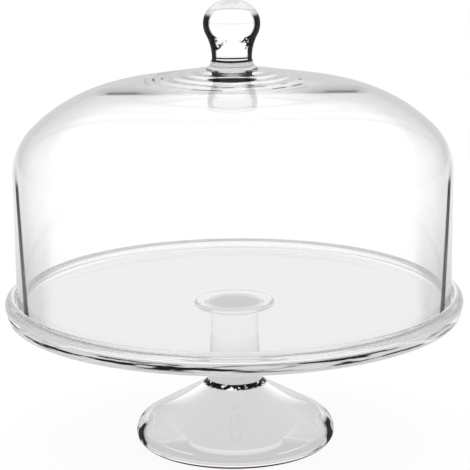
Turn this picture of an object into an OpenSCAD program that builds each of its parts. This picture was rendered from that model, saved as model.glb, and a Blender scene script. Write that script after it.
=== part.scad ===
// Glass cake stand: a flat plate with a raised rim on a solid pedestal foot,
// and a loose blown dome with a solid glass knob. Every piece is a revolve about Z.
// The origin is the centre of the foot's ground ring, on the table. Sizes in mm.

/* [Dome] */
// Outside diameter of the dome's straight side
dome_d = 270; // [240:1:290]
// Thickness of the dome's glass
dome_wall = 4.3; // [3:0.1:6]
// Height of the straight side above the plate's floor
dome_side_h = 81; // [50:1:120]
// Radius of the shoulder
shoulder_r = 35; // [25:1:42]
// Angle that the shoulder turns through
shoulder_turn = 45; // [38:1:52]
// Radius of the crown
crown_r = 96; // [80:1:110]
// Slope of the rise that leads from the crown to the knob
crown_slope = 10.5; // [6:0.5:14]
// Radius of the flat spot inside the dome, under the knob
crown_flat_r = 14; // [10:0.5:18]
// Radius of the fire-polished lower edges
dome_edge_r = 1.5; // [0.5:0.1:2]

/* [Knob] */
// Diameter of the collar on the crown that the knob is fused to
collar_d = 25.8; // [22:0.2:30]
// Radius of the fillet from the collar out to the crown
collar_fillet_r = 5.3; // [3:0.1:8]
// Diameter of the knob's neck
neck_d = 24.4; // [18:0.2:25]
// Height of the narrowest part of the neck above the seam
neck_h = 1.7; // [1:0.1:5]
// Radius of the hollow curve between the neck and the ball
neck_curve_r = 30; // [24:0.5:40]
// Diameter of the knob's ball
ball_d = 34.8; // [32:0.2:42]
// Radius of the ball's round side
ball_side_r = 14; // [11:0.2:16]

/* [Plate] */
// Play between the dome and the ledge around it
dome_play = 1.2; // [0.5:0.1:3]
// Height of the plate's floor above the table
floor_z = 94; // [80:1:120]
// Thickness of the plate under the floor
plate_t = 9; // [6:0.5:12]
// Height of the rim above the floor
ledge_h = 4.4; // [3:0.1:6]
// Radius of the fillet where the ledge meets the floor
ledge_fillet_r = 1; // [0.3:0.1:1.5]
// Radius of the rim's inner corner
lip_r = 0.8; // [0.3:0.1:1.5]
// Radius of the rim's rounded outside
rim_r = 5.5; // [4:0.1:7]
// Lean of the side below the rim's widest line
rim_lean = 15; // [0:1:25]
// Radius of the plate's lower corner
plate_corner_r = 1.5; // [0.5:0.1:2.5]

/* [Foot] */
// Widest diameter of the foot
foot_d = 124.6; // [100:0.2:150]
// Slope of the foot's flare
foot_slope = 30; // [24:1:36]
// Radius of the foot's round shoulder
foot_shoulder_r = 11; // [9:0.2:15]
// Radius of the foot's lower edge
foot_edge_r = 7.1; // [4:0.1:8.5]
// Width of the ground ring that stands on the table
ring_w = 4; // [2:0.5:8]
// Height of the shallow recess inside the ground ring
recess_h = 0.8; // [0.3:0.1:1.5]
// Width of the bevel between the ground ring and the recess
recess_run = 2; // [1:0.5:4]

/* [Stem] */
// Diameter of the stem at its top
stem_d = 29.2; // [24:0.2:32]
// Diameter of the stem where it meets the foot
stem_base_d = 34.8; // [32:0.2:42]
// Radius of the fillet between the stem and the foot's flare
stem_fillet_r = 4; // [2:0.5:6]
// Diameter of the pad that joins the stem to the plate
pad_d = 50; // [40:0.5:60]
// Thickness of the pad
pad_t = 3.5; // [2:0.1:5]
// Radius of the fillet between the pad and the stem
pad_fillet_r = 5; // [2:0.5:5]

/* [Hidden] */
$fn = 180;

glass = [0.86, 0.93, 0.94, 0.4];
// How far a cut runs past the face that it opens
past = 1;
// How far an arc runs into the line that it is tangent to, so that they join
weld = 0.003;

// The unit vector at an angle, and the height of a slope at radius r
function dir(angle) = [cos(angle), sin(angle)];
function slope_z(start, angle, r) = start[1] + (start[0] - r) * tan(angle);

// Dome: two arcs that run into each other, then a straight rise to the collar
dome_r = dome_d / 2;
shoulder_c = [dome_r - shoulder_r, floor_z + dome_side_h];
crown_c = shoulder_c + (shoulder_r - crown_r) * dir(shoulder_turn);
rise_dir = 90 - crown_slope;
collar_r = collar_d / 2;
fillet_axis_r = collar_r + collar_fillet_r;
crown_end = crown_c + crown_r * dir(rise_dir);
seam_z = slope_z(crown_end, crown_slope, fillet_axis_r) + collar_fillet_r / cos(crown_slope);
dome_lip_r = min(dome_edge_r, 0.45 * dome_wall);

// Knob: a round side about ball_c, and a neck curve that is tangent to it
ball_r = ball_d / 2;
neck_r = neck_d / 2;
ball_c_r = ball_r - ball_side_r;
neck_c = [neck_r + neck_curve_r, seam_z + neck_h];
ball_rise = sqrt(pow(ball_side_r + neck_curve_r, 2) - pow(neck_c[0] - ball_c_r, 2));
ball_c = [ball_c_r, neck_c[1] + ball_rise];

// Plate: the ledge is set by the dome and its play, and the rim stands around it
ledge_r = dome_r + dome_play;
rim_top_z = floor_z + ledge_h;
plate_r = ledge_r + lip_r + rim_r;
plate_under_z = floor_z - plate_t;
rim_c = [plate_r - rim_r, rim_top_z - rim_r];
side_len = (rim_c[1] - plate_under_z - plate_corner_r * (1 - sin(rim_lean))) / cos(rim_lean);
corner_c = [plate_r, rim_c[1]] - side_len * [sin(rim_lean), cos(rim_lean)]
    - plate_corner_r * dir(-rim_lean);

// Foot: the shoulder and the lower edge share their widest height
foot_r = foot_d / 2;
foot_edge_c = [foot_r - foot_edge_r, foot_edge_r];
foot_c = [foot_r - foot_shoulder_r, foot_edge_c[1]];
flare_dir = 90 - foot_slope;
flare_start = foot_c + foot_shoulder_r * dir(flare_dir);
ring_inner_r = foot_edge_c[0] - ring_w;

// Stem: its side is one hollow arc, upright at the top
stem_r = stem_d / 2;
stem_base_r = stem_base_d / 2;
stem_base_z = slope_z(flare_start, foot_slope, stem_base_r);
pad_under_z = plate_under_z - pad_t;
stem_top_z = pad_under_z - pad_fillet_r;
stem_drop = stem_top_z - stem_base_z;
stem_swell = stem_base_r - stem_r;
stem_curve_r = (pow(stem_drop, 2) + pow(stem_swell, 2)) / (2 * stem_swell);
stem_curve_c = [stem_r + stem_curve_r, stem_top_z];
// The stem's fillet touches the flare from outside and the stem's arc from inside it
flare_way = [-cos(foot_slope), sin(foot_slope)];
fillet_from = flare_start + stem_fillet_r * dir(flare_dir) - stem_curve_c;
fillet_reach = stem_curve_r - stem_fillet_r;
fillet_along = fillet_from * flare_way;
fillet_run = sqrt(pow(fillet_along, 2) - fillet_from * fillet_from + pow(fillet_reach, 2)) - fillet_along;
stem_fillet_c = stem_curve_c + fillet_from + fillet_run * flare_way;

// A sector of a disc about c, between two angles up to 180 degrees apart
module sector(c, r, from, to) {
    reach = 2 * r;
    intersection() {
        translate(c) circle(r);
        translate(c) polygon([[0, 0], reach * dir(from), reach * dir((from + to) / 2), reach * dir(to)]);
    }
}

// The dome's form, moved in by inset and closed flat at top_r
module bell(inset, top_r, bottom_z) {
    side_r = dome_r - inset;
    arc_r = crown_r - inset;
    start = crown_c + arc_r * dir(rise_dir);
    top_z = slope_z(start, crown_slope, top_r);
    polygon([
        [0, bottom_z],
        [side_r, bottom_z],
        [side_r, shoulder_c[1]],
        crown_c + arc_r * dir(shoulder_turn),
        start,
        [top_r, top_z],
        [0, top_z]
    ]);
    translate(shoulder_c) circle(shoulder_r - inset + 2 * weld);
    sector(crown_c, arc_r + weld, shoulder_turn, 90);
}

// The solid collar on the crown and the fillet around it
module collar() {
    fillet_c = [fillet_axis_r, seam_z];
    inside_z = slope_z(crown_end, crown_slope, collar_r) - dome_wall / 2;
    difference() {
        polygon([
            [0, inside_z],
            [collar_r, inside_z],
            fillet_c - collar_fillet_r * dir(rise_dir),
            fillet_c,
            [0, seam_z]
        ]);
        translate(fillet_c) circle(collar_fillet_r + weld);
    }
}

// The dome's wall ends in a rounded edge that stands on the plate
module dome_rim() {
    inner_r = dome_r - dome_wall;
    edge_z = floor_z + dome_lip_r;
    translate([inner_r + dome_lip_r, floor_z]) square([dome_wall - 2 * dome_lip_r, dome_lip_r + past]);
    sector([inner_r + dome_lip_r, edge_z], dome_lip_r, -180, 0);
    sector([dome_r - dome_lip_r, edge_z], dome_lip_r, -180, 0);
}

module dome() {
    color(glass) rotate_extrude() {
        difference() {
            union() {
                bell(0, collar_r, floor_z + dome_lip_r);
                collar();
            }
            bell(dome_wall, crown_flat_r, floor_z);
        }
        dome_rim();
    }
}

module knob() {
    color(glass) rotate_extrude() {
        difference() {
            polygon([[0, seam_z], [neck_c[0], seam_z], neck_c, ball_c, [0, ball_c[1]]]);
            translate(neck_c) circle(neck_curve_r);
        }
        intersection() {
            translate(ball_c) circle(ball_side_r + weld);
            translate([0, seam_z]) square([2 * ball_r, 2 * ball_d]);
        }
        translate([0, ball_c[1]]) square([ball_c[0], ball_side_r]);
    }
}

module plate() {
    lip_c = [ledge_r + lip_r, rim_top_z - lip_r];
    color(glass) rotate_extrude() {
        polygon([
            [0, plate_under_z],
            [corner_c[0], plate_under_z],
            corner_c + plate_corner_r * dir(-rim_lean),
            [plate_r, rim_c[1]],
            [rim_c[0], rim_top_z],
            [ledge_r, lip_c[1]],
            [ledge_r, floor_z],
            [0, floor_z]
        ]);
        translate(corner_c) circle(plate_corner_r + weld);
        sector(rim_c, rim_r, 0, 90);
        translate(lip_c) circle(lip_r);
        difference() {
            translate([ledge_r - ledge_fillet_r, floor_z - past]) square(ledge_fillet_r + past);
            translate([ledge_r - ledge_fillet_r, floor_z + ledge_fillet_r]) circle(ledge_fillet_r);
        }
    }
}

// The flare's form, which runs on a little inside the stem and down to the ground ring
module flare() {
    top_r = stem_base_r - past;
    top_z = slope_z(flare_start, foot_slope, top_r);
    polygon([
        [0, 0],
        [foot_edge_c[0], 0],
        [foot_r, foot_edge_c[1]],
        flare_start,
        [top_r, top_z],
        [0, top_z]
    ]);
    sector(foot_c, foot_shoulder_r + weld, 0, 90);
    intersection() {
        translate(foot_edge_c) circle(foot_edge_r + 2 * weld);
        square(foot_d);
    }
}

// The shallow recess, which leaves the ground ring to stand on
module recess() {
    widening = past * recess_run / recess_h;
    polygon([
        [0, -past],
        [ring_inner_r + widening, -past],
        [ring_inner_r - recess_run, recess_h],
        [0, recess_h]
    ]);
}

// The glass between the stem's side and the flare, hollowed by their fillet
module stem_fillet() {
    difference() {
        polygon([
            stem_fillet_c,
            stem_fillet_c - (stem_fillet_r + past) * dir(flare_dir),
            [stem_r - past, stem_base_z - past],
            stem_fillet_c + (stem_fillet_r + past) * (stem_fillet_c - stem_curve_c) / fillet_reach
        ]);
        translate(stem_fillet_c) circle(stem_fillet_r + weld);
    }
}

// The stem's side swells to its base, and fillets lead out to the flare and the pad
module stem() {
    difference() {
        translate([0, foot_c[1]]) square([stem_fillet_c[0], stem_top_z - foot_c[1]]);
        difference() {
            translate(stem_curve_c) circle(stem_curve_r);
            stem_fillet();
        }
    }
    difference() {
        translate([0, stem_top_z]) square([stem_r + pad_fillet_r, pad_fillet_r]);
        translate([stem_r + pad_fillet_r, stem_top_z]) circle(pad_fillet_r);
    }
}

// The pad is a button of glass, round at its edge and flat against the plate
module pad() {
    edge_r = pad_t / 2;
    translate([0, pad_under_z]) square([pad_d / 2 - edge_r, pad_t]);
    translate([pad_d / 2 - edge_r, pad_under_z + edge_r]) circle(edge_r);
}

module foot() {
    color(glass) rotate_extrude() {
        difference() {
            flare();
            recess();
        }
        stem();
        pad();
    }
}

dome();
knob();
plate();
foot();
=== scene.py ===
"""A glass cake stand with a loose blown dome, lit on a pale floor.

Every glass piece is a revolve, so each one is an outline walked in millimetres
and spun about Z. The dome is fused to its knob and the plate to its foot, so
each of those pairs is one closed skin of glass here.
"""

from __future__ import annotations

import logging
import math
from dataclasses import dataclass
from enum import Enum
from typing import Callable

import bpy
from mathutils import Matrix, Vector


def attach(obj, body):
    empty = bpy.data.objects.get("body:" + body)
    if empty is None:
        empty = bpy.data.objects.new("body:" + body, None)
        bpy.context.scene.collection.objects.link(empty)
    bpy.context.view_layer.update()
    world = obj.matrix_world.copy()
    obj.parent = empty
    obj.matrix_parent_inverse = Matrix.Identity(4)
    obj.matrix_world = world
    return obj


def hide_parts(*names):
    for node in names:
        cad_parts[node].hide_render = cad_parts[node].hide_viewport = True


LOG = logging.getLogger("cake_stand")
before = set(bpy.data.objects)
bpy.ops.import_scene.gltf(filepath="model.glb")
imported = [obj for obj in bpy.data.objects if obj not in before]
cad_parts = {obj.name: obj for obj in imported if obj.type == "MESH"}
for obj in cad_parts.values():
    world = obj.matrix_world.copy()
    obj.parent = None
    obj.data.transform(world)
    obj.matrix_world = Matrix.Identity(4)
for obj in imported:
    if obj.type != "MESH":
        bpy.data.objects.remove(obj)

MM = 0.001
PHOTO_SIDE_PX = 470
SENSOR_MM = 36.0
BOUNCES = 32

Point = tuple[float, float]
Colour = tuple[float, float, float, float]

BLACK: Colour = (0.0, 0.0, 0.0, 1.0)
WHITE: Colour = (1.0, 1.0, 1.0, 1.0)


def grey(level: float) -> Colour:
    """A grey of a level."""
    return (level, level, level, 1.0)


class Slot(Enum):
    """The record's material slots."""

    BLOWN = "blown_glass"
    PRESSED = "pressed_glass"


def direction(angle: float) -> Point:
    """The unit vector at an angle.

    Args:
        angle: Angle from the radial axis towards +Z, in degrees.

    Returns:
        The vector's radial and vertical parts.
    """
    turn = math.radians(angle)
    return math.cos(turn), math.sin(turn)


def shifted(start: Point, angle: float, distance: float) -> Point:
    """The point that lies a distance from another.

    Args:
        start: The first point.
        angle: Direction from it, in degrees.
        distance: Distance in millimetres.

    Returns:
        The second point.
    """
    step = direction(angle)
    return start[0] + distance * step[0], start[1] + distance * step[1]


def bearing(start: Point, end: Point) -> float:
    """The direction from one point to another.

    Args:
        start: The first point.
        end: The second point.

    Returns:
        The angle in degrees.
    """
    return math.degrees(math.atan2(end[1] - start[1], end[0] - start[0]))


class Outline:
    """A half section, walked point by point in millimetres."""

    STEP_DEG = 6.0
    GUARD = 0.25
    LEAST = 1e-4

    def __init__(self, r: float, z: float) -> None:
        """Starts the walk.

        Args:
            r: Radius of the first point.
            z: Height of the first point.
        """
        self.points: list[Point] = [(r, z)]

    def line(self, r: float, z: float) -> "Outline":
        """Walks straight to a point, with a guard point close to each end.

        The guards keep the smooth shading of the arcs out of the flats.

        Args:
            r: Radius of the end point.
            z: Height of the end point.

        Returns:
            This outline.
        """
        start, end = self.points[-1], (r, z)
        length = math.dist(start, end)
        if length > 4 * self.GUARD:
            way = bearing(start, end)
            self.points.append(shifted(start, way, self.GUARD))
            self.points.append(shifted(end, way, -self.GUARD))
        if length > self.LEAST:
            self.points.append(end)
        return self

    def arc(
        self, centre: Point, radius: float, start: float, end: float, step: float = STEP_DEG
    ) -> "Outline":
        """Walks along an arc.

        Args:
            centre: The arc's centre.
            radius: The arc's radius.
            start: Angle where it starts, in degrees.
            end: Angle where it ends.
            step: The largest angle between two points.

        Returns:
            This outline.
        """
        self.line(*shifted(centre, start, radius))
        count = max(2, math.ceil(abs(end - start) / step))
        for i in range(1, count + 1):
            self.points.append(shifted(centre, start + (end - start) * i / count, radius))
        return self


class Lathe:
    """Spins outlines into closed glass."""

    SEGMENTS = 288
    SHARP_DEG = 12.0
    MERGE_MM = 0.005

    @classmethod
    def spin(cls, name: str, outline: Outline) -> bpy.types.Object:
        """Spins an outline about Z.

        Args:
            name: The piece's name.
            outline: The half section, which starts and ends on the axis.

        Returns:
            The piece, with its place in its mesh.
        """
        bpy.ops.object.select_all(action="DESELECT")
        bpy.ops.mesh.primitive_plane_add(size=MM, enter_editmode=True)
        piece = bpy.context.object
        piece.name = piece.data.name = name
        bpy.ops.mesh.select_all(action="SELECT")
        bpy.ops.mesh.merge(type="CENTER")
        here = outline.points[0]
        bpy.ops.transform.translate(value=(here[0] * MM, 0, here[1] * MM))
        for there in outline.points[1:]:
            step = ((there[0] - here[0]) * MM, 0, (there[1] - here[1]) * MM)
            bpy.ops.mesh.extrude_region_move(TRANSFORM_OT_translate={"value": step})
            here = there
        bpy.ops.mesh.select_all(action="SELECT")
        bpy.ops.mesh.spin(steps=cls.SEGMENTS, angle=math.tau, center=(0, 0, 0), axis=(0, 0, 1))
        bpy.ops.mesh.select_all(action="SELECT")
        bpy.ops.mesh.remove_doubles(threshold=cls.MERGE_MM * MM)
        bpy.ops.mesh.normals_make_consistent(inside=False)
        bpy.ops.object.mode_set(mode="OBJECT")
        bpy.ops.object.shade_smooth_by_angle(angle=math.radians(cls.SHARP_DEG))
        return piece


@dataclass(frozen=True)
class Field:
    """A value in a shader, with operators that add the nodes for it."""

    shader: "Shader"
    socket: bpy.types.NodeSocket

    def _math(self, operation: str, *terms: "Field | float") -> "Field":
        """Adds a Math node.

        Args:
            operation: What it does.
            terms: Its inputs in order.

        Returns:
            Its result.
        """
        node = self.shader.node(
            "ShaderNodeMath", {"operation": operation}, dict(enumerate(terms))
        )
        return self.shader.field(node, "Value")

    def __add__(self, other: "Field | float") -> "Field":
        """The sum."""
        return self._math("ADD", self, other)

    def __radd__(self, other: float) -> "Field":
        """The sum, after a number."""
        return self._math("ADD", self, other)

    def __sub__(self, other: "Field | float") -> "Field":
        """The difference."""
        return self._math("SUBTRACT", self, other)

    def __rsub__(self, other: float) -> "Field":
        """A number less the value."""
        return self._math("SUBTRACT", other, self)

    def __mul__(self, other: "Field | float") -> "Field":
        """The product."""
        return self._math("MULTIPLY", self, other)

    def __rmul__(self, other: float) -> "Field":
        """The product, after a number."""
        return self._math("MULTIPLY", self, other)

    def __abs__(self) -> "Field":
        """The value without its sign."""
        return self._math("ABSOLUTE", self)

    def root(self) -> "Field":
        """The square root."""
        return self._math("SQRT", self)

    def sine(self) -> "Field":
        """The sine."""
        return self._math("SINE", self)

    def highest(self, *others: "Field | float") -> "Field":
        """The largest of some values.

        Args:
            others: The other values.

        Returns:
            The largest one.
        """
        top = self
        for other in others:
            top = top._math("MAXIMUM", top, other)
        return top

    def ramp(self, low: float, high: float, start: float = 0.0, end: float = 1.0) -> "Field":
        """A smooth step.

        Args:
            low: The value that maps to start.
            high: The value that maps to end.
            start: Result at low and under.
            end: Result at high and over.

        Returns:
            The mapped value.
        """
        node = self.shader.node(
            "ShaderNodeMapRange",
            {"interpolation_type": "SMOOTHSTEP"},
            {"Value": self, "From Min": low, "From Max": high, "To Min": start, "To Max": end},
        )
        return self.shader.field(node, "Result")

    def fade(self, low: float, high: float) -> "Field":
        """A mask that falls from 1 to 0 between two values."""
        return self.ramp(low, high, 1.0, 0.0)

    def band(self, low: float, high: float, soft: float) -> "Field":
        """A mask that is 1 between two values.

        Args:
            low: Where it rises.
            high: Where it falls.
            soft: Half the width of each slope.

        Returns:
            The mask.
        """
        return self.ramp(low - soft, low + soft) * self.fade(high - soft, high + soft)


class Shader:
    """Builds a node tree with short calls."""

    def __init__(self, tree: bpy.types.NodeTree) -> None:
        """Clears a tree.

        Args:
            tree: The node tree to fill.
        """
        self.tree = tree
        tree.nodes.clear()

    def node(
        self, kind: str, settings: dict[str, str] | None = None, sockets: dict[object, object] | None = None
    ) -> bpy.types.Node:
        """Adds a node.

        Args:
            kind: The node's type.
            settings: Its settings, which are set first.
            sockets: Values, fields or shader nodes for its inputs, by name or number.

        Returns:
            The node.
        """
        node = self.tree.nodes.new(kind)
        for name, choice in (settings or {}).items():
            setattr(node, name, choice)
        for key, value in (sockets or {}).items():
            if isinstance(value, Field):
                self.tree.links.new(value.socket, node.inputs[key])
            elif isinstance(value, bpy.types.Node):
                self.tree.links.new(value.outputs[0], node.inputs[key])
            else:
                node.inputs[key].default_value = value
        return node

    def field(self, node: bpy.types.Node, output: str | int) -> Field:
        """An output of a node as a value."""
        return Field(self, node.outputs[output])

    def stretched(self, vector: Field, scale: tuple[float, float, float]) -> Field:
        """A vector times a factor on each axis.

        Args:
            vector: The vector.
            scale: The three factors.

        Returns:
            The stretched vector.
        """
        node = self.node("ShaderNodeVectorMath", {"operation": "MULTIPLY"}, {0: vector, 1: scale})
        return self.field(node, "Vector")

    def tone(self, share: Field, first: Colour, second: Colour) -> Field:
        """Mixes two colours.

        Args:
            share: The share of the second.
            first: The first colour.
            second: The second colour.

        Returns:
            The mixed colour.
        """
        node = self.node("ShaderNodeMix", {"data_type": "RGBA"}, {0: share, 6: first, 7: second})
        return self.field(node, 2)

    def mix(self, share: Field, first: bpy.types.Node, second: bpy.types.Node) -> bpy.types.Node:
        """Mixes two shaders.

        Args:
            share: The share of the second.
            first: The first shader's node.
            second: The second shader's node.

        Returns:
            The Mix Shader node.
        """
        return self.node("ShaderNodeMixShader", None, {0: share, 1: first, 2: second})

    def output(self, node: bpy.types.Node, kind: str = "ShaderNodeOutputMaterial") -> None:
        """Wires a shader to an output node of a type."""
        self.node(kind, None, {"Surface": node})


class Skin:
    """Where a spot of the glass lies, in millimetres, and how steeply it is met.

    Facing is 0 where the glass is met square on and 1 at its edge. Outside is 1
    where it is met from the air.
    """

    def __init__(self, shader: Shader) -> None:
        """Adds the nodes.

        Args:
            shader: The shader that they go into.
        """
        self.shader = shader
        place = shader.field(shader.node("ShaderNodeTexCoord"), "Object")
        self.spot = shader.stretched(place, (1 / MM, 1 / MM, 1 / MM))
        split = shader.node("ShaderNodeSeparateXYZ", None, {"Vector": self.spot})
        self.x, self.y, self.z = (shader.field(split, axis) for axis in "XYZ")
        self.radius = (self.x * self.x + self.y * self.y).root()
        weight = shader.node("ShaderNodeLayerWeight", None, {"Blend": 0.5})
        self.facing = shader.field(weight, "Facing")
        self.outside = 1.0 - shader.field(shader.node("ShaderNodeNewGeometry"), "Backfacing")

    def noise(self, grain: float, detail: float = 1.0, upright: float = 1.0) -> Field:
        """A cloudy pattern.

        Args:
            grain: The size of its clouds in millimetres.
            detail: How many finer layers it has.
            upright: The clouds' height over their width.

        Returns:
            A value around 0.5.
        """
        where = self.shader.stretched(self.spot, (1.0, 1.0, 1 / upright))
        clouds = self.shader.node(
            "ShaderNodeTexNoise", None, {"Vector": where, "Scale": 1 / grain, "Detail": detail}
        )
        return self.shader.field(clouds, "Fac")


class BlownPaintedShade:
    """Painted shade on the dome and its knob, standing in for the dark edges and bands that refraction and
    mirrored surroundings give. Lengths are in millimetres.
    """

    NECK_Z = 242.0
    CROWN_Z = 236.0
    WALL_R = 133.0

    def __init__(self, skin: Skin) -> None:
        """Keeps the skin that the marks lie on.

        Args:
            skin: The skin of the glass.
        """
        self.skin = skin
        self.span = abs(skin.x)
        # Slanting: the painted shade shows only where the glass is met at a slant, from outside.
        self.slanting = skin.facing.ramp(0.2, 0.42) * skin.outside
        # Near: the painted shade lies only on the glass's -Y half, towards the front.
        self.near = skin.y.fade(-2.0, 2.0) * self.slanting

    def knob(self) -> Field:
        """Painted shade along the knob's edge where it is met at a slant, broken up at the waist."""
        skin, z = self.skin, self.skin.z
        waist = z.band(250.0, 257.5, 1.8) * skin.noise(2.4, 2.0).ramp(0.45, 0.62) * 0.2
        # Painted shade: the more edge-on the knob is met, the darker it gets.
        edge = (skin.facing + waist).ramp(0.3, 0.43)
        return edge * z.ramp(269.0, 275.0, 1.0, 0.08) * z.ramp(self.NECK_Z - 1.5, self.NECK_Z + 0.5)

    def seam(self) -> Field:
        """Painted shade in a ring at the step where the knob is fused on."""
        # Painted shade: a dark ring at the fused step.
        return self.skin.z.band(self.NECK_Z, self.NECK_Z + 1.5, 0.3)

    def wall(self) -> Field:
        """Painted shade on the wall's edge where it is met at a slant, with a painted dark streak that
        wanders inward as it goes down.
        """
        skin, z, facing = self.skin, self.skin.z, self.skin.facing
        # Painted shade: darker where the wall is met edge-on, plus a painted dark streak.
        low = facing.ramp(0.47, 0.57) * z.ramp(100.0, 150.0, 0.34, 0.04)
        shade = low + facing.ramp(0.58, 0.82) * z.ramp(175.0, 200.0, 0.18, 0.08)
        drift = facing + (162.0 - z) * 0.0012
        streak_wobble = skin.noise(30.0, 2.0, 3.0).ramp(0.35, 0.65)
        streak = drift.band(0.765, 0.85, 0.02) * (streak_wobble * 0.1 + 0.9) * z.fade(170.0, 195.0)
        outer = skin.radius.ramp(self.WALL_R - 0.5, self.WALL_R + 1.0) * skin.outside
        return shade.highest(streak * outer) * z.fade(self.CROWN_Z, self.CROWN_Z + 1.5)

    def crown(self) -> Field:
        """A painted dark reflection: a grey strip on the crown's near side, with a sharp lower edge."""
        skin = self.skin
        # Painted dark reflection, laid as a strip on the crown's near side.
        rise = skin.z * 0.973 + skin.y * 0.232 - skin.x * skin.x * 0.0004
        strip = rise.ramp(210.0, 212.0) * rise.fade(211.0, 223.0)
        below = skin.z.fade(self.CROWN_Z, self.CROWN_Z + 1.5)
        deep = self.span.ramp(30.0, 60.0, 0.4, 0.92) * self.span.ramp(73.0, 86.0, 1.0, 0.2)
        return strip * below * deep * self.near

    def collar(self) -> Field:
        """Painted shade before the collar, in three parts called the fold, the lens and the thread."""
        r, span = self.skin.radius, self.span
        # Painted shade: a band, a lens-shaped spot and a thin ring before the collar.
        fold_shade = r.band(16.6, 24.4, 0.6) * span.fade(11.8, 12.8) * span.ramp(0.0, 10.5, 0.8, 1.0)
        across, along = (r - 30.1) * 0.23, self.skin.x * 0.066
        lens = (across * across + along * along).fade(0.85, 1.1)
        thread_shade = r.band(37.5, 39.2, 0.4) * span.fade(12.0, 16.0) * 0.4
        return fold_shade.highest(lens, thread_shade) * self.near * self.skin.z.band(233.0, 239.5, 0.5)

    def collar_ripple_shade(self) -> Field:
        """Painted shade in broken rings round the collar."""
        skin, r = self.skin, self.skin.radius
        # Painted shade: broken dark rings, shown only where the glass is met at a slant.
        rings = (r * (math.tau / 5.2)).sine().ramp(0.4, 0.8) * r.band(38.0, 54.0, 2.0)
        broken = skin.noise(16.0, 2.0).ramp(0.49, 0.56)
        return rings * skin.z.ramp(224.5, 225.5) * broken * self.slanting * 0.9

    def all(self) -> Field:
        """All the painted shade, as the share of black in the tint."""
        return self.knob().highest(self.seam(), self.wall(), self.collar(), self.collar_ripple_shade(), self.crown())


class PressedPaintedShade:
    """Painted shade on the plate and its foot, standing in for the dark streaks and edges that refraction
    and mirrored surroundings give. Lengths are in millimetres.
    """

    def __init__(self, skin: Skin) -> None:
        """Keeps the skin that the marks lie on.

        Args:
            skin: The skin of the glass.
        """
        self.skin = skin

    def rim(self) -> Field:
        """Painted shade in long streaks round the rim's lower side, and a fainter painted shade under it.
        """
        z, r = self.skin.z, self.skin.radius
        # Painted shade: long dark streaks round the rim's lower side.
        long = self.skin.noise(38.0, 3.0, 1 / 16).ramp(0.46, 0.56)
        streaks = z.band(87.2, 92.2, 0.8) * r.ramp(137.5, 139.2) * long
        return streaks.highest(z.band(84.8, 86.6, 0.4) * r.ramp(132.0, 134.0) * 0.25)

    def foot(self) -> Field:
        """Painted shade on the foot: along its slanting edge, in patches at its ends and in a line along
        its sole.
        """
        z, r, facing = self.skin.z, self.skin.radius, self.skin.facing
        # Painted shade: the foot's slanting edge, patches at its ends and a dark line at its sole.
        flare = facing.ramp(0.62, 0.95) * z.fade(34.0, 45.0) * 0.45
        ends = z.band(3.5, 16.5, 1.5) * r.ramp(52.0, 55.0) * facing.ramp(0.5, 0.62)
        painted_shade = ends * self.skin.noise(9.0, 1.0, 0.8).ramp(0.42, 0.52)
        return flare.highest(painted_shade, z.fade(2.2, 3.0) * r.ramp(56.0, 57.2))

    def painted_curls(self) -> Field:
        """Painted shade in dark curls that ring the stem's base."""
        # Painted shade: broken dark curls in a ring round the stem's base.
        ring = self.skin.z.band(37.0, 41.0, 0.3) * self.skin.radius.fade(19.2, 20.6)
        return ring * self.skin.noise(3.0, 1.5, 0.66).ramp(0.36, 0.44)

    def all(self) -> Field:
        """All the painted shade, as the share of black in the tint."""
        return self.rim().highest(self.foot(), self.painted_curls()) * self.skin.outside


def blown_height(skin: Skin) -> Field:
    """The waves in the blown skin, with ripples round the collar.

    Args:
        skin: The skin of the glass.

    Returns:
        Its height in millimetres.
    """
    clouds = skin.noise(45.0)
    turn = skin.radius * (math.tau / 8.5) + clouds * 7.0
    ripple = turn.sine() * skin.radius.ramp(14.0, 60.0, 0.1, 0.0) * skin.z.ramp(222.0, 228.0)
    return clouds * 0.02 + ripple


def pressed_height(skin: Skin) -> Field:
    """The waves in the pressed skin.

    Args:
        skin: The skin of the glass.

    Returns:
        Its height in millimetres.
    """
    return skin.noise(33.0) * 0.03


@dataclass(frozen=True)
class Finish:
    """How a kind of glass looks."""

    slot: Slot
    tint: tuple[float, float, float]
    shadow: float
    painted_shade: type[BlownPaintedShade] | type[PressedPaintedShade]
    height: Callable[[Skin], Field]
    ior: float = 1.5
    painted_dark_share: float = 0.8
    last_bounce: float = 14.0

    def material(self) -> bpy.types.Material:
        """The material of this glass.

        Where its painted shade is darkest, a near-black matt shader is mixed in, so
        its reflections are painted dark too. It lets lamp light through, and gives
        up on a path after many bounces.

        Returns:
            The material.
        """
        material = bpy.data.materials.new(self.slot.value)
        material.use_nodes = True
        shader = Shader(material.node_tree)
        skin = Skin(shader)
        # Painted shade: the share of black in the tint, standing in for dark edges from refraction and
        # mirrored surroundings.
        shade = self.painted_shade(skin).all()
        bump = shader.node(
            "ShaderNodeBump", None, {"Height": self.height(skin), "Strength": 1.0, "Distance": MM}
        )
        clear = shader.node(
            "ShaderNodeBsdfPrincipled",
            None,
            {
                "Base Color": shader.tone(shade, (*self.tint, 1.0), BLACK),
                "Roughness": 0.0,
                "IOR": self.ior,
                "Transmission Weight": 1.0,
                "Normal": shader.field(bump, "Normal"),
            },
        )
        dark = shader.node("ShaderNodeBsdfDiffuse", None, {"Color": grey(0.01)})
        # Painted shade also dulls the reflections where it is deepest.
        body = shader.mix(shade.ramp(0.75, 1.0) * self.painted_dark_share, clear, dark)
        path = shader.node("ShaderNodeLightPath")
        passed = shader.node("ShaderNodeBsdfTransparent", None, {"Color": grey(self.shadow)})
        lost = shader.field(path, "Ray Depth").ramp(self.last_bounce - 0.5, self.last_bounce + 0.5)
        passing = shader.field(path, "Is Shadow Ray").highest(shader.field(path, "Is Diffuse Ray"), lost)
        shader.output(shader.mix(passing, body, passed))
        return material


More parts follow.
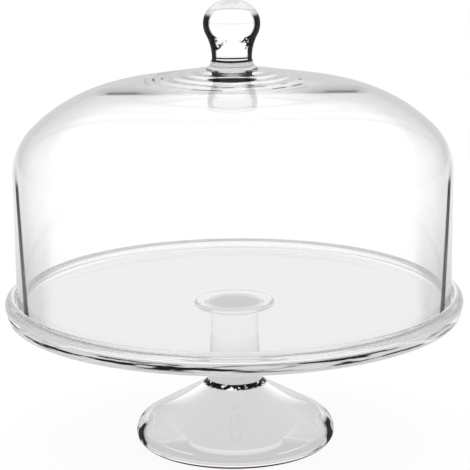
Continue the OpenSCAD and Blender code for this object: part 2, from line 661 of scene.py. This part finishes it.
BLOWN = Finish(Slot.BLOWN, (0.993, 0.993, 0.993), 0.75, BlownPaintedShade, blown_height)
PRESSED = Finish(Slot.PRESSED, (0.988, 0.985, 0.984), 0.65, PressedPaintedShade, pressed_height)


def dress(piece: bpy.types.Object, finish: Finish, *nodes: str) -> None:
    """Gives a piece its material and its place in the frame.

    Args:
        piece: The piece.
        finish: The glass that it is made of.
        nodes: The nodes that it stands for.
    """
    piece.data.materials.clear()
    piece.data.materials.append(finish.material())
    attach(piece, "root")
    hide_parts(*nodes)
    LOG.info("%s: %d faces, for %s", piece.name, len(piece.data.polygons), ", ".join(nodes))


@dataclass(frozen=True)
class Cover:
    """The blown dome with its knob. Sizes are in millimetres, as in the part's source."""

    radius: float = 135.0
    wall: float = 4.3
    side_h: float = 81.0
    shoulder_r: float = 35.0
    shoulder_turn: float = 45.0
    crown_r: float = 96.0
    crown_slope: float = 10.5
    flat_r: float = 14.0
    edge_r: float = 1.5
    collar_r: float = 12.9
    fillet_r: float = 5.3
    neck_r: float = 12.2
    neck_h: float = 1.7
    neck_curve_r: float = 30.0
    ball_r: float = 17.4
    side_r: float = 14.0
    lift: float = 0.05

    def knob_outline(self, seam_z: float) -> Outline:
        """Walks down the knob.

        Args:
            seam_z: Height of the seam that the knob is fused on.

        Returns:
            The half section from the knob's top to the seam.
        """
        neck = (self.neck_r + self.neck_curve_r, seam_z + self.neck_h)
        ball_x = self.ball_r - self.side_r
        reach = self.side_r + self.neck_curve_r
        ball = (ball_x, neck[1] + math.sqrt(reach**2 - (neck[0] - ball_x) ** 2))
        join = bearing(ball, neck)
        neck_end = 180 + math.degrees(math.asin(self.neck_h / self.neck_curve_r))

        outline = Outline(0, ball[1] + self.side_r)
        outline.line(ball[0], ball[1] + self.side_r)
        outline.arc(ball, self.side_r, 90, join, 4)
        outline.arc(neck, self.neck_curve_r, join + 180, neck_end, 2)
        return outline

    def outline(self, floor_z: float) -> Outline:
        """The outline of the dome with its knob.

        Args:
            floor_z: Height of the floor that the dome rests on.

        Returns:
            The half section, from the knob's top round to the dome's inner roof.
        """
        rise_dir = 90 - self.crown_slope
        slope = math.radians(self.crown_slope)
        shoulder = (self.radius - self.shoulder_r, floor_z + self.side_h)
        crown = shifted(shoulder, self.shoulder_turn, self.shoulder_r - self.crown_r)
        crown_end = shifted(crown, rise_dir, self.crown_r)
        fillet_axis_r = self.collar_r + self.fillet_r
        rise = (crown_end[0] - fillet_axis_r) * math.tan(slope)
        seam_z = crown_end[1] + rise + self.fillet_r / math.cos(slope)

        outline = self.knob_outline(seam_z)
        outline.line(self.collar_r, seam_z)
        outline.arc((fillet_axis_r, seam_z), self.fillet_r, 180, 180 + rise_dir)
        outline.arc(crown, self.crown_r, rise_dir, self.shoulder_turn, 2)
        outline.arc(shoulder, self.shoulder_r, self.shoulder_turn, 0, 3)

        edge_z = floor_z + self.lift + self.edge_r
        inner_r = self.radius - self.wall
        outline.arc((self.radius - self.edge_r, edge_z), self.edge_r, 0, -90, 9)
        outline.arc((inner_r + self.edge_r, edge_z), self.edge_r, -90, -180, 9)
        outline.arc(shoulder, self.shoulder_r - self.wall, 0, self.shoulder_turn, 3)
        outline.arc(crown, self.crown_r - self.wall, self.shoulder_turn, rise_dir, 2)
        start = outline.points[-1]
        roof_z = start[1] + (start[0] - self.flat_r) * math.tan(slope)
        outline.line(self.flat_r, roof_z)
        outline.line(0, roof_z)
        return outline

    def build(self, floor_z: float) -> bpy.types.Object:
        """Spins the cover and dresses it.

        Args:
            floor_z: Height of the floor that the dome rests on.

        Returns:
            The piece.
        """
        piece = Lathe.spin("cover", self.outline(floor_z))
        dress(piece, BLOWN, "dome", "knob")
        return piece


@dataclass(frozen=True)
class Stand:
    """The pressed plate with its foot. Sizes are in millimetres, as in the part's source."""

    ledge_r: float = 136.2
    floor_z: float = 94.0
    thickness: float = 9.0
    ledge_h: float = 4.4
    fillet_r: float = 1.0
    lip_r: float = 0.8
    rim_r: float = 5.5
    lean: float = 15.0
    corner_r: float = 1.5
    foot_r: float = 62.3
    slope: float = 30.0
    shoulder_r: float = 11.0
    edge_r: float = 7.1
    ring_w: float = 4.0
    recess_run: float = 2.0
    recess_h: float = 0.8
    junction_r: float = 4.0
    stem_r: float = 14.6
    stem_base_r: float = 17.4
    pad_r: float = 25.0
    pad_t: float = 3.5
    pad_fillet_r: float = 5.0

    def plate(self, outline: Outline) -> None:
        """Walks over the plate's rim to its underside.

        Args:
            outline: The outline, which stands in the middle of the plate's floor.
        """
        top_z = self.floor_z + self.ledge_h
        under_z = self.floor_z - self.thickness
        plate_r = self.ledge_r + self.lip_r + self.rim_r
        rim = (plate_r - self.rim_r, top_z - self.rim_r)
        lean = math.radians(self.lean)
        drop = rim[1] - under_z - self.corner_r * (1 - math.sin(lean))
        side = drop / math.cos(lean)
        side_end = (plate_r - side * math.sin(lean), rim[1] - drop)
        corner = shifted(side_end, -self.lean, -self.corner_r)
        fillet = (self.ledge_r - self.fillet_r, self.floor_z + self.fillet_r)

        outline.arc(fillet, self.fillet_r, -90, 0, 9)
        outline.arc((self.ledge_r + self.lip_r, top_z - self.lip_r), self.lip_r, 180, 90, 9)
        outline.arc(rim, self.rim_r, 90, 0, 5)
        outline.arc(corner, self.corner_r, -self.lean, -90, 9)

    def pad(self, outline: Outline) -> float:
        """Walks round the pad to the top of the stem.

        Args:
            outline: The outline, which stands on the plate's underside.

        Returns:
            The height of the stem's top.
        """
        under_z = self.floor_z - self.thickness
        half = self.pad_t / 2
        stem_top_z = under_z - self.pad_t - self.pad_fillet_r
        outline.arc((self.pad_r - half, under_z - half), half, 90, -90, 9)
        outline.arc((self.stem_r + self.pad_fillet_r, stem_top_z), self.pad_fillet_r, 90, 180)
        return stem_top_z

    @staticmethod
    def junction(curve: Point, reach: float, start: Point, way: float) -> Point:
        """The centre of the fillet between the stem's hollow curve and the flare.

        Args:
            curve: Centre of the stem's curve.
            reach: How far the fillet's centre lies from it.
            start: A point on the line that the fillet's centre lies on.
            way: The line's direction, in degrees.

        Returns:
            The point of the line that lies the reach away from the curve's centre.
        """
        step = direction(way)
        gap = (start[0] - curve[0], start[1] - curve[1])
        along = gap[0] * step[0] + gap[1] * step[1]
        run = math.sqrt(along**2 - gap[0] ** 2 - gap[1] ** 2 + reach**2) - along
        return shifted(start, way, run)

    def foot(self, outline: Outline, stem_top_z: float) -> None:
        """Walks down the stem and over the flare to the ground ring and the recess.

        Args:
            outline: The outline, which stands at the top of the stem.
            stem_top_z: The height of the stem's top.
        """
        edge = (self.foot_r - self.edge_r, self.edge_r)
        shoulder = (self.foot_r - self.shoulder_r, edge[1])
        flare_dir = 90 - self.slope
        flare = shifted(shoulder, flare_dir, self.shoulder_r)
        tilt = math.tan(math.radians(self.slope))
        drop = stem_top_z - flare[1] - (flare[0] - self.stem_base_r) * tilt
        swell = self.stem_base_r - self.stem_r
        curve_r = (drop**2 + swell**2) / (2 * swell)
        curve = (self.stem_r + curve_r, stem_top_z)
        beside = shifted(flare, flare_dir, self.junction_r)
        joint = self.junction(curve, curve_r - self.junction_r, beside, flare_dir + 90)
        meet = bearing(curve, joint) % 360

        outline.arc(curve, curve_r, 180, meet, 0.5)
        outline.arc(joint, self.junction_r, meet, 180 + flare_dir, 5)
        outline.arc(shoulder, self.shoulder_r, flare_dir, 0, 4)
        outline.arc(edge, self.edge_r, 0, -90, 4)
        outline.line(edge[0] - self.ring_w, 0)
        outline.line(edge[0] - self.ring_w - self.recess_run, self.recess_h)
        outline.line(0, self.recess_h)

    def build(self) -> bpy.types.Object:
        """Spins the stand and dresses it.

        Returns:
            The piece.
        """
        outline = Outline(0, self.floor_z)
        self.plate(outline)
        self.foot(outline, self.pad(outline))
        piece = Lathe.spin("stand", outline)
        dress(piece, PRESSED, "plate", "foot")
        return piece


@dataclass(frozen=True)
class Studio:
    """The floor, the lamp and the room around the object. Lengths are in metres."""

    floor_r: float = 2.2
    floor_sides: int = 128
    paint: float = 0.85
    plain: float = 0.93
    brightest: float = 1.1
    mirrored_floor: float = 0.78
    lamp_spot: tuple[float, float, float] = (0.0, 0.2, 1.6)
    lamp_aim: tuple[float, float, float] = (0.0, 0.0, 0.12)
    lamp_side: float = 1.2
    lamp_watts: float = 12.0

    def floor_material(self) -> bpy.types.Material:
        """The floor's white, with a painted shadow round the stand that only rays through or off the glass
        see.

        Returns:
            The material, which takes the object's shadow.
        """
        material = bpy.data.materials.new("floor")
        material.use_nodes = True
        shader = Shader(material.node_tree)
        path = shader.node("ShaderNodeLightPath")
        place = shader.field(shader.node("ShaderNodeTexCoord"), "Object")
        split = shader.node("ShaderNodeSeparateXYZ", None, {"Vector": place})
        x, y = shader.field(split, "X"), shader.field(split, "Y")
        away = (x * x + y * y).root()
        # Painted shadow: the floor is greyer within about 0.18 m of the stand, for rays through or off the
        # glass.
        level = away.ramp(0.09, 0.18, 0.79, 1.0) + away.ramp(0.18, 0.8, 0.0, 0.1)
        mirrored = shader.field(path, "Glossy Depth").ramp(0.4, 0.6, 1.0, self.mirrored_floor)
        camera = shader.field(path, "Is Camera Ray")
        seen = camera.highest(
            shader.field(path, "Is Transmission Ray"), shader.field(path, "Is Glossy Ray")
        )
        share = level * mirrored * (1 / self.brightest)
        tone = shader.tone(share, BLACK, grey(self.brightest))
        matt = shader.node("ShaderNodeBsdfDiffuse", None, {"Color": grey(self.paint)})
        straight = shader.node("ShaderNodeEmission", None, {"Color": WHITE, "Strength": 1.0})
        behind = shader.node("ShaderNodeEmission", None, {"Color": tone, "Strength": 1.0})
        shader.output(shader.mix(seen * self.plain, matt, shader.mix(camera, behind, straight)))
        return material

    def floor(self) -> bpy.types.Object:
        """Lays the floor.

        Returns:
            The floor's object.
        """
        bpy.ops.object.select_all(action="DESELECT")
        bpy.ops.mesh.primitive_circle_add(
            vertices=self.floor_sides, radius=self.floor_r, fill_type="NGON", location=(0, 0, 0)
        )
        floor = bpy.context.object
        floor.name = "floor"
        floor.data.materials.append(self.floor_material())
        return floor

    def room(self) -> None:
        """The room: white where it is seen straight, and greyer where glass mirrors it.

        Mirrored, only the high back wall stays bright.
        """
        world = bpy.data.worlds.new("room")
        bpy.context.scene.world = world
        world.use_nodes = True
        shader = Shader(world.node_tree)
        place = shader.field(shader.node("ShaderNodeTexCoord"), "Generated")
        split = shader.node("ShaderNodeSeparateXYZ", None, {"Vector": place})
        back, up = shader.field(split, "Y"), shader.field(split, "Z")
        high = up.ramp(0.37, 0.53) * back.ramp(0.2, 0.5, 0.0, 0.41)
        levels = {
            "straight": 1.0,
            "behind": up.ramp(-0.11, -0.052, 0.9, 1.1),
            "mirrored": up.ramp(0.37, 0.53, 0.68, 0.74) + high,
        }
        light = {
            name: shader.node("ShaderNodeBackground", None, {"Color": WHITE, "Strength": level})
            for name, level in levels.items()
        }
        path = shader.node("ShaderNodeLightPath")
        depth = shader.field(path, "Glossy Depth").ramp(0.4, 0.6)
        glassy = shader.mix(depth, light["behind"], light["mirrored"])
        seen = shader.mix(shader.field(path, "Is Camera Ray"), glassy, light["straight"])
        shader.output(seen, "ShaderNodeOutputWorld")

    def lamp(self) -> None:
        """A soft square lamp over the object, which stays out of its reflections."""
        bpy.ops.object.light_add(type="AREA", location=self.lamp_spot)
        lamp = bpy.context.object
        lamp.name = "key"
        lamp.data.size = self.lamp_side
        lamp.data.energy = self.lamp_watts
        lamp.visible_glossy = lamp.visible_transmission = False
        aim = Vector(self.lamp_aim) - Vector(self.lamp_spot)
        lamp.rotation_euler = aim.to_track_quat("-Z", "Y").to_euler()

    def build(self) -> None:
        """Sets up the floor, the room and the lamp."""
        self.floor()
        self.room()
        self.lamp()
        LOG.info("studio: floor of %.1f m", self.floor_r)


@dataclass(frozen=True)
class CameraFit:
    """The camera that the photograph was fitted with."""

    back_m: float = 1.2
    height_m: float = 0.41933
    focal_px: float = 1987.88
    pitch_deg: float = 13.427
    roll_deg: float = 0.55
    left_px: float = 1.4
    clip_m: float = 0.01

    def build(self) -> bpy.types.Object:
        """Creates the camera.

        Returns:
            The camera, set as the scene's own.
        """
        bpy.ops.object.camera_add()
        camera = bpy.context.object
        look = Matrix.Rotation(math.radians(90 - self.pitch_deg), 4, "X")
        roll = Matrix.Rotation(math.radians(-self.roll_deg), 4, "Z")
        camera.matrix_world = Matrix.Translation((0, -self.back_m, self.height_m)) @ look @ roll
        camera.data.sensor_width = SENSOR_MM
        camera.data.lens = self.focal_px / PHOTO_SIDE_PX * SENSOR_MM
        camera.data.shift_x = self.left_px / PHOTO_SIDE_PX
        camera.data.clip_start = self.clip_m
        bpy.context.scene.camera = camera
        return camera


def set_up_scene() -> None:
    """Sets the view and how many bounces a path through the glass may take."""
    scene = bpy.context.scene
    scene.view_settings.view_transform = "Standard"
    scene.cycles.max_bounces = BOUNCES
    scene.cycles.transmission_bounces = BOUNCES
    scene.cycles.glossy_bounces = BOUNCES
    scene.cycles.transparent_max_bounces = BOUNCES


def main() -> None:
    """Builds the scene."""
    logging.basicConfig(level=logging.INFO)
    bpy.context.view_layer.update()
    set_up_scene()
    stand = Stand()
    Cover().build(stand.floor_z)
    stand.build()
    Studio().build()
    CameraFit().build()


if __name__ == "__main__":
    main()
